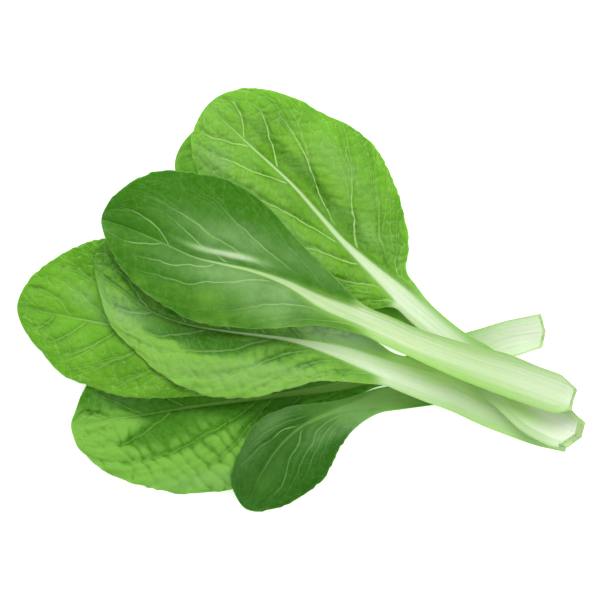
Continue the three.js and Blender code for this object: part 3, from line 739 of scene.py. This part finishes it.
def cut_points(surface, under, across, seed):
    """Rows of points over the cut end, from the top edge to the lower one: straight between the two edges,
    sunk into the stalk by a half wave of the way down, and roughened by noise."""
    shares = np.linspace(0, 1, CUT_ROWS + 2)[1:-1]
    back = surface[0] - surface[ROWS_BEHIND_CUT]
    back /= np.linalg.norm(back, axis=1, keepdims=True)
    rough = CUT_ROUGH_MM * soft_noise(across, 0, CUT_ROUGH_SIZE_MM, seed + 17)[:, None]
    sunk = back * (CUT_HOLLOW_MM - rough)
    return [surface[0] + (under[0] - surface[0]) * share - sunk * np.sin(np.pi * share) for share in shares]


def build_leaf(node, sizes):
    """Makes the mesh object of one leaf, with its fields stored on its points for the material."""
    leaf = LEAVES[node]
    surface, under, f = leaf_surfaces(leaf, node, sizes)
    rows, columns = surface.shape[:2]
    cut = cut_points(surface, under, f["across"][0], leaf["seed"])
    points = np.vstack([flat_rows(surface), flat_rows(under)] + cut) * MM
    fours, threes = leaf_faces(rows, columns, CUT_ROWS)
    mesh = bpy.data.meshes.new(node + "_skin")
    corners = np.concatenate([fours.ravel(), threes.ravel()])
    starts = np.concatenate([np.arange(len(fours)) * 4, len(fours) * 4 + np.arange(len(threes)) * 3])
    mesh.vertices.add(len(points))
    mesh.vertices.foreach_set("co", points.ravel())
    mesh.loops.add(len(corners))
    mesh.loops.foreach_set("vertex_index", corners)
    mesh.polygons.add(len(starts))
    mesh.polygons.foreach_set("loop_start", starts)
    mesh.polygons.foreach_set("use_smooth", np.ones(len(starts), bool))
    mesh.update(calc_edges=True)
    mesh.validate()
    for name in STORED:
        flat = flat_rows(f[name][..., None])[:, 0]
        add_field(mesh, name, np.concatenate([flat, flat] + [f[name][0]] * CUT_ROWS))
    tops = (rows - 1) * columns + 1
    sides = [np.zeros(tops), np.ones(tops), np.full(CUT_ROWS * columns, 2.0)]
    add_field(mesh, "side", np.concatenate(sides))
    piece = bpy.data.objects.new(node + "_skin", mesh)
    bpy.context.scene.collection.objects.link(piece)
    return piece


def add_field(mesh, name, values):
    """Stores one number for each point of a mesh."""
    mesh.attributes.new(name, "FLOAT", "POINT").data.foreach_set("value", values.astype(np.float32))


class Wire:
    """One output of a shader tree. Arithmetic on it adds Math nodes to the tree."""

    def __init__(self, shader, socket):
        self.shader = shader
        self.socket = socket

    def __add__(self, other):
        return self.shader.math("ADD", self, other)

    __radd__ = __add__

    def __sub__(self, other):
        return self.shader.math("SUBTRACT", self, other)

    def __rsub__(self, other):
        return self.shader.math("SUBTRACT", other, self)

    def __mul__(self, other):
        return self.shader.math("MULTIPLY", self, other)

    __rmul__ = __mul__

    def __truediv__(self, other):
        return self.shader.math("DIVIDE", self, other)

    def __rtruediv__(self, other):
        return self.shader.math("DIVIDE", other, self)

    def __neg__(self):
        return self.shader.math("MULTIPLY", self, -1.0)

    def __abs__(self):
        return self.shader.math("ABSOLUTE", self)


class Shader:
    """A new material and the ways of adding to its tree."""

    def __init__(self, name):
        self.material = bpy.data.materials.new(name)
        self.material.use_nodes = True
        self.tree = self.material.node_tree
        self.tree.nodes.clear()

    def add(self, kind, settings, inputs, output=0):
        """Adds a node: its settings first, then the value or link of each named input. Gives the wire of one
        output, or nothing where output is None."""
        node = self.tree.nodes.new(kind)
        for name, value in settings.items():
            setattr(node, name, value)
        for name, value in inputs.items():
            if isinstance(value, Wire):
                self.tree.links.new(value.socket, node.inputs[name])
            else:
                node.inputs[name].default_value = value
        return None if output is None else Wire(self, node.outputs[output])

    def surface(self, inputs):
        """Ends the tree with the surface shader that has these inputs."""
        shader = self.add("ShaderNodeBsdfPrincipled", {}, inputs)
        self.add("ShaderNodeOutputMaterial", {}, {"Surface": shader}, None)

    def math(self, operation, *values):
        return self.add("ShaderNodeMath", {"operation": operation}, dict(enumerate(values)))

    def most(self, first, *others):
        """The greatest of some values."""
        for other in others:
            first = self.math("MAXIMUM", first, other)
        return first

    def least(self, first, second):
        """The smaller of two values."""
        return self.math("MINIMUM", first, second)

    def field(self, name):
        """One of the numbers stored on the points of the mesh."""
        return self.add("ShaderNodeAttribute", {"attribute_name": name}, {}, "Fac")

    def place(self, x, y, z=0.0):
        """A point from three numbers or wires."""
        return self.add("ShaderNodeCombineXYZ", {}, {"X": x, "Y": y, "Z": z})

    def step(self, value, start, end):
        """0 at start and 1 at end, smoothly between."""
        settings = {"interpolation_type": "SMOOTHSTEP"}
        return self.add("ShaderNodeMapRange", settings, {"Value": value, "From Min": start, "From Max": end})

    def line(self, distance, inner, outer):
        """1 within the inner distance from a line and 0 past the outer one, smoothly between."""
        return 1 - self.step(distance, inner, outer)

    def mix(self, share, first, second):
        """The first colour where share is 0, the second where it is 1."""
        inputs = {"Factor": share, 6: as_colour(first), 7: as_colour(second)}
        return self.add("ShaderNodeMix", {"data_type": "RGBA"}, inputs, 2)

    def noise(self, place, scale, detail=2.0, roughness=0.5):
        """Perlin noise from 0 to 1 at a place."""
        inputs = {"Vector": place, "Scale": scale, "Detail": detail, "Roughness": roughness}
        return self.add("ShaderNodeTexNoise", {}, inputs, "Fac")

    def cells(self, place, scale, feature):
        """Distance from scattered points, or from the borders of their cells, in the units of the cells."""
        inputs = {"Vector": place, "Scale": scale}
        return self.add("ShaderNodeTexVoronoi", {"feature": feature}, inputs, "Distance")


def as_colour(colour):
    """A colour of three numbers with its alpha added; a wire as it is."""
    return colour if isinstance(colour, Wire) else (*colour, 1.0)


def leaf_patterns(s, leaf):
    """All that a leaf's colours are worked out from, by name: the fields stored on its points, where it is
    the underside or the cut, noises of several sizes, how broad the rib counts, how far a point lies aside
    of the part of the rib that is drawn, and streaks and bands along the stalk."""
    here = s.add("ShaderNodeTexCoord", {}, {}, "Object")
    f = {name: s.field(name) for name in (*STORED, "side")}
    f["number"] = s.math("ROUND", f["phase"])
    f["from_vein"] = abs(f["phase"] - f["number"]) * f["gap"]
    f["open_gap"] = s.step(f["gap"], *leaf["crowd"])
    f["underside"] = s.step(f["side"], 0.3, 0.9)
    f["cut"] = s.step(f["side"], 1.15, 1.4)
    f["broad"] = s.noise(here, BROAD_SCALE, 3.0, 0.55)
    f["patchy"] = s.step(s.noise(here, PATCH_SCALE, 3.0, 0.6), 0.3, 0.65)
    f["fine"] = s.noise(here, FINE_SCALE, 3.0, 0.6)
    f["speckle"] = s.noise(here, SPECKLE_SCALE, 2.0, 0.7)
    f["hairs"] = s.cells(here, HAIR_SCALE, "DISTANCE_TO_EDGE")
    f["bundles"] = s.cells(here, BUNDLE_SCALE, "F1")
    f["wide"] = s.step(f["rib"], *leaf["rib_pale"])
    f["aside"] = f["from_rib"] + f["rib"] - f["rib"] * (0.45 + 0.55 * s.step(f["rib"], 1.6, 4.4))
    f["streaks"] = s.noise(s.place(f["across"] * 0.8, f["along"] * 0.018), 1.0, 4.0, 0.65)
    f["bands"] = s.noise(s.place(f["across"] * 0.25, f["along"] * 0.012, 4.0), 1.0, 2.0, 0.5)
    return f


def blade_colour(s, f, leaf, hues):
    """Green of the blade: from dark to light by its tone and noise, with painted shade that follows its
    height and darkens the valleys of the side veins and the rungs, the painted shade and light of its shade
    spots, deep green as painted shade where it is darkest, bloom, painted sheen and highlights, and specks."""
    tone, tipward, leftward, outward = leaf["tone"]
    # Painted shade: darker in the valleys beside the side veins, on the creases of the rungs and where the
    # relief sinks, lighter where it rises, and the shade spots' painted shade, shadow and light on top of
    # the tone
    valley = s.line(f["from_vein"], 0.2, 2.8) * f["open_gap"] * (1 - f["out"])
    rung = s.line(f["from_rung"], 0.0, 1.0) * (0.13 * leaf["ladder"])
    light = tone + tipward * f["far"] - leftward * f["lean"] + outward * f["out"]
    light = light + 1.3 * (f["broad"] - 0.5) + 0.3 * f["lift"] + f["shade"] - 0.3 * valley - rung
    colour = s.mix(s.step(light, 0.0, 1.0), leaf["dark"], leaf["light"])
    # Painted shade: the darkest places are pushed towards the deep green of the folds
    colour = s.mix(s.step(light, 0.1, -1.2) * 0.6, colour, hues.deep)
    # Painted sheen and highlights: grey-green sheen spots over the waxy bloom, and the palest painted
    # highlights where the sheen spots are strongest
    bloom_and_sheen = f["patchy"] * leaf["bloom_and_sheen"] * (1 - f["out"]) + f["sheen"] * (0.6 + 0.4 * f["patchy"])
    colour = s.mix(s.least(bloom_and_sheen, 1.0), colour, hues.bloom_and_sheen)
    colour = s.mix(s.step(f["sheen"], 0.9, 2.6) * 0.8, colour, hues.shine)
    colour = s.mix(s.step(f["fine"], 0.35, 0.75) * 0.20, colour, leaf["light"])
    return s.mix(s.step(f["speckle"], 0.45, 0.8) * 0.12, colour, leaf["dark"])


def vein_paleness(s, f, leaf):
    """How much of the veins' colour shows: the most of the hairs, the borders of the small and large cells,
    the rungs and the forks, times the leaf's own share, or else of the side veins themselves."""
    outer = s.step(f["out"] + 0.7 * f["far"], 0.6, 1.3)
    net = s.most(
        s.line(f["hairs"], 0.0, 0.09) * 0.10,
        s.line(f["small_cell"], 0.0, 0.5) * 0.16,
        s.line(f["cell"], 0.0, 0.95) * (0.18 + 0.24 * outer),
        s.line(f["from_rung"], 0.0, 1.0) * s.step(f["from_vein"], 0.3, 1.2) * (0.24 - 0.08 * f["out"]))
    for turn, order, reach in FORKS:
        wave = s.math("SINE", FORK_PACE * f["number"] + (turn + order + leaf["seed"]))
        past = f["out"] - wave * FORK_SPREAD - (FORK_START + FORK_STAGGER * order)
        drift = s.step(past, 0.0, FORK_LENGTH) * (turn * reach)
        away = abs(f["phase"] - f["number"] - drift) * f["gap"] + s.most(-past, 0.0) * FORK_FADE_MM
        fork = s.line(away, 0.08, 0.42) * s.step(f["gap"], 5.5, 10.0) * (0.5 - 0.3 * f["out"])
        net = s.most(net, fork)
    core = s.line(f["from_vein"] / (1 - 0.6 * f["out"]), 0.1, 0.55) * s.step(f["out"], 0.95, 0.3)
    core = core * f["open_gap"] * f["wing"] * s.step(f["from_rib"], -0.6, 0.6)
    return s.most(net * leaf["net"] * f["wing"], core * leaf["vein"])


def stalk_colour(s, f, leaf, hues):
    """Colour of the stalk: green wings turning pale inwards, a whitish base, whitish and green streaks, one
    side greener as painted shade, green flushes, mostly painted shade where other leaves and stalks shade
    it, and a matte underside."""
    edge = s.mix(0.55 - 0.4 * f["wing"], hues.wing, leaf["stalk"])
    inward = -f["from_rib"] / f["rib"] + 0.25 * (f["streaks"] - 0.5)
    stalk = s.mix(s.step(inward, -0.3, 0.7), edge, leaf["stalk"])
    stalk = s.mix(s.line(f["along"], 0.0, BASE_MM) * leaf["end"], stalk, hues.base)
    stalk = s.mix(s.step(f["streaks"], 0.5, 0.85) * (0.28 * leaf["whiten"]), stalk, hues.base)
    stalk = s.mix(s.step(f["bands"], 0.45, 0.8) * (0.5 * leaf["whiten"]), stalk, hues.base)
    stalk = s.mix(s.line(f["streaks"], 0.2, 0.5) * 0.10, stalk, hues.wing)
    green = s.line(f["streaks"], 0.35, 0.6) * (0.6 * (1 - leaf["whiten"])) * f["wing"]
    stalk = s.mix(green, stalk, leaf["light"])
    # Painted shade: one side of the stalk is greener, as the shade on its rounded flank
    stalk = s.mix(s.step(f["lean"] * leaf["shaded_side"], 0.0, 1.1) * 0.5, stalk, hues.wing)
    # Painted shade: green flushes, mostly where other leaves and stalks shade the stalk
    stalk = s.mix(s.least(f["flush"], 0.85), stalk, hues.flush)
    stalk = s.mix(s.step(f["fine"], 0.35, 0.75) * 0.06, stalk, hues.wing)
    return s.mix(f["underside"] * 0.35, stalk, hues.underside)


def stalk_share(s, f, leaf):
    """Where the stalk's colour shows: on the rib, more so where it is broad, and below the blade."""
    hold = min(1.0, 0.3 + 0.9 * leaf["whiten"])
    on_rib = s.line(f["aside"], -0.4 - 1.2 * f["wide"], 0.4)
    on_rib = on_rib * (0.15 + 0.8 * s.step(f["rib"], 0.2, 1.5)) * hold
    return s.most(on_rib, (1 - f["wing"]) * s.step(f["to_margin"], -1.5, 1.6) * f["wide"])


def leaf_material(node, leaf, hues):
    """The finish of one leaf: its blade with pale veins and margin and with painted shade, sheen and
    highlights, bright green beside the rib, the stalk with painted green shade, a matte underside, a moist
    cut end dotted with strands, and a soft gloss over fine grain."""
    s = Shader(node + "_finish")
    f = leaf_patterns(s, leaf)
    colour = blade_colour(s, f, leaf, hues)
    colour = s.mix(vein_paleness(s, f, leaf), colour, leaf["pale"])
    colour = s.mix(s.line(f["to_margin"], 0.1, 0.7) * 0.25, colour, leaf["pale"])
    beside_rib = s.line(f["aside"], -0.5, 0.8 + 3.0 * f["wide"]) * (0.1 + 0.5 * f["wide"])
    colour = s.mix(beside_rib, colour, hues.wing)
    colour = s.mix(f["underside"] * 0.7, colour, hues.underside)
    thin = 0.4 * leaf["whiten"]
    stalk = s.mix(thin + (1 - thin) * f["wide"], leaf["pale"], stalk_colour(s, f, leaf, hues))
    on_stalk = stalk_share(s, f, leaf)
    colour = s.mix(on_stalk, colour, stalk)
    colour = s.mix(f["cut"], colour, s.mix(s.step(f["bundles"], 0.15, 0.45), hues.bundle, hues.cut))

    gloss = 0.42 + 0.16 * f["fine"] + 0.10 * s.step(f["broad"], 0.3, 0.7)
    gloss = gloss + 0.22 * f["underside"] - 0.08 * (1 - f["wing"])
    grain = s.step(f["hairs"], 0.0, 0.25) * 0.5 + f["fine"] * 0.5 + f["speckle"] * 0.25
    height = grain * (1 - 0.7 * on_stalk) + f["streaks"] * on_stalk
    bump = s.add("ShaderNodeBump", {}, {"Strength": 0.4, "Distance": 0.0002, "Height": height})
    s.surface({"Base Color": colour, "Roughness": gloss, "Normal": bump, "Specular IOR Level": 0.09,
               "Subsurface Weight": 0.25, "Subsurface Radius": (0.5, 1.0, 0.15), "Subsurface Scale": 0.0018})
    return s.material


def length(name, description, default):
    """A property for a length in metres, shown in the scene's units."""
    return bpy.props.FloatProperty(name=name, description=description, default=default, min=0.0,
                                   subtype="DISTANCE", unit="LENGTH", precision=5)


def hue(name, description, default):
    """A property for a colour in linear red, green and blue."""
    return bpy.props.FloatVectorProperty(name=name, description=description, default=default, size=3,
                                         min=0.0, max=1.0, subtype="COLOR")


class LeafSizes(bpy.types.PropertyGroup):
    """The sizes that all leaves share."""

    blade_thickness: length("Blade thickness", "Thickness of the green blade away from its rib", 0.0005)
    vein_depth: length("Vein depth", "How deep the side veins sink between their pillows", 0.0011)
    under_vein: length("Vein below", "How far the side veins stand out of the underside", 0.0004)
    pucker_height: length("Pucker height", "Height of the puckers between the net veins", 0.0006)
    ruffle_height: length("Ruffle height", "How far the margin waves up and down", 0.0007)
    margin_tooth: length("Margin tooth", "How far the small teeth of the margin stand out", 0.00045)
    stalk_rib_height: length("Stalk rib height", "Height of the fine ribs along the stalk", 0.00012)


class LeafHues(bpy.types.PropertyGroup):
    """The colours that all leaves share."""

    # Painted sheen and highlights: the first colour is both the waxy bloom and the grey-green painted sheen,
    # the second the palest painted highlights
    bloom_and_sheen: hue("Bloom", "Waxy bloom over the middle of a blade", (0.24, 0.42, 0.16))
    shine: hue("Shine", "Palest streaks of shine on a blade", (0.55, 0.68, 0.45))
    # Painted shade: the deep green put into the folds and darkest places of a blade
    deep: hue("Deep", "Darkest green in the folds of a blade", (0.02, 0.12, 0.001))
    # Painted shade: the green of the flushes where a stalk lies in shade
    flush: hue("Flush", "Green flush along a stalk", (0.38, 0.68, 0.15))
    wing: hue("Wings", "Bright green beside the rib", (0.26, 0.50, 0.09))
    base: hue("Stalk base", "Whitish base of a stalk", (0.82, 0.87, 0.74))
    underside: hue("Underside", "Matte underside of a blade", (0.26, 0.46, 0.15))
    cut: hue("Cut end", "Moist cut end of a stalk", (0.44, 0.62, 0.28))
    bundle: hue("Bundles", "Ends of the strands in the cut", (0.32, 0.52, 0.17))


class StageSettings(bpy.types.PropertyGroup):
    """The floor, the lights and the camera."""

    floor: hue("Floor", "Colour of the pale floor", (0.9, 0.9, 0.9))
    floor_glow: bpy.props.FloatProperty(name="Floor glow", default=0.6, min=0.0,
                                        description="How strongly the floor is lit from below")
    frame_width: length("Frame width", "Width of floor that the camera sees", 0.3)
    camera_height: length("Camera height", "Height of the camera over the floor", 8.333)
    key_power: bpy.props.FloatProperty(name="Key power", description="Power of the main soft light in watts",
                                       default=14.5, min=0.0)
    sky: bpy.props.FloatProperty(name="Sky", description="Strength of the even white light", default=0.55,
                                 min=0.0)


class BOKCHOY_OT_leaf(bpy.types.Operator):
    """Build one leaf around its CAD node"""

    bl_idname = "bok_choy.leaf"
    bl_label = "Leaf"
    node: bpy.props.StringProperty(name="Node", description="CAD node that the leaf stands for")

    def execute(self, context):
        piece = build_leaf(self.node, context.scene.bok_choy_sizes)
        piece.data.materials.append(leaf_material(self.node, LEAVES[self.node], context.scene.bok_choy_hues))
        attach(piece, "root")
        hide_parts(self.node)
        return {"FINISHED"}


class BOKCHOY_OT_stage(bpy.types.Operator):
    """Lay the pale floor, hang the soft lights and aim the camera straight down"""

    bl_idname = "bok_choy.stage"
    bl_label = "Stage"

    def execute(self, context):
        settings = context.scene.bok_choy_stage
        make_floor(settings)
        make_lights(settings)
        make_camera(settings)
        return {"FINISHED"}


class BOKCHOY_PT_panel(bpy.types.Panel):
    """Lists the pieces, their sizes and their colours"""

    bl_idname = "BOKCHOY_PT_panel"
    bl_label = "Bok choy"
    bl_space_type = "VIEW_3D"
    bl_region_type = "UI"
    bl_category = "Bok choy"

    def draw(self, context):
        for node in LEAVES:
            text = node.replace("_", " ").capitalize()
            self.layout.operator(BOKCHOY_OT_leaf.bl_idname, text=text).node = node
        self.layout.operator(BOKCHOY_OT_stage.bl_idname)
        for name in SETTINGS:
            group = getattr(context.scene, name)
            for prop in type(group).__annotations__:
                self.layout.prop(group, prop)


SETTINGS = {"bok_choy_sizes": LeafSizes, "bok_choy_hues": LeafHues, "bok_choy_stage": StageSettings}
CLASSES = (LeafSizes, LeafHues, StageSettings, BOKCHOY_OT_leaf, BOKCHOY_OT_stage, BOKCHOY_PT_panel)


def make_floor(settings):
    """A flat square floor just under the leaves, in one matte pale colour that also glows."""
    reach = FLOOR_SIZE / 2
    corners = [(-reach, -reach, FLOOR_DROP), (reach, -reach, FLOOR_DROP), (reach, reach, FLOOR_DROP),
               (-reach, reach, FLOOR_DROP)]
    mesh = bpy.data.meshes.new("floor")
    mesh.from_pydata(corners, [], [(0, 1, 2, 3)])
    floor = bpy.data.objects.new("floor", mesh)
    bpy.context.scene.collection.objects.link(floor)
    s = Shader("floor_finish")
    s.surface({"Base Color": as_colour(settings.floor), "Roughness": 0.9, "Specular IOR Level": 0.0,
               "Emission Color": as_colour(settings.floor), "Emission Strength": settings.floor_glow})
    mesh.materials.append(s.material)


def make_lights(settings):
    """An even white sky and two large soft lights, the key from the top of the picture."""
    world = bpy.data.worlds.new("sky")
    world.use_nodes = True
    world.node_tree.nodes["Background"].inputs["Color"].default_value = (1.0, 1.0, 1.0, 1.0)
    world.node_tree.nodes["Background"].inputs["Strength"].default_value = settings.sky
    bpy.context.scene.world = world
    for name, place, size, power in LIGHTS:
        light = bpy.data.lights.new(name, "AREA")
        light.shape = "DISK"
        light.size = size
        light.energy = power * settings.key_power
        lamp = bpy.data.objects.new(name, light)
        lamp.location = place
        lamp.rotation_euler = (-Vector(place)).to_track_quat("-Z", "Y").to_euler()
        bpy.context.scene.collection.objects.link(lamp)


def make_camera(settings):
    """A long lens straight above, so that the frame's width of floor fills the picture."""
    camera = bpy.data.cameras.new("camera")
    camera.sensor_width = SENSOR_MM
    camera.lens = SENSOR_MM * settings.camera_height / settings.frame_width
    camera.clip_end = 2 * settings.camera_height
    eye = bpy.data.objects.new("camera", camera)
    eye.location = (*FRAME_CENTRE, settings.camera_height)
    bpy.context.scene.collection.objects.link(eye)
    bpy.context.scene.camera = eye
    bpy.context.scene.view_settings.view_transform = "Standard"


def register():
    for made in CLASSES:
        bpy.utils.register_class(made)
    for name, group in SETTINGS.items():
        setattr(bpy.types.Scene, name, bpy.props.PointerProperty(type=group))


def unregister():
    for name in SETTINGS:
        delattr(bpy.types.Scene, name)
    for made in reversed(CLASSES):
        bpy.utils.unregister_class(made)


def main():
    register()
    for node in LEAVES:
        bpy.ops.bok_choy.leaf(node=node)
    bpy.ops.bok_choy.stage()


if __name__ == "__main__":
    main()
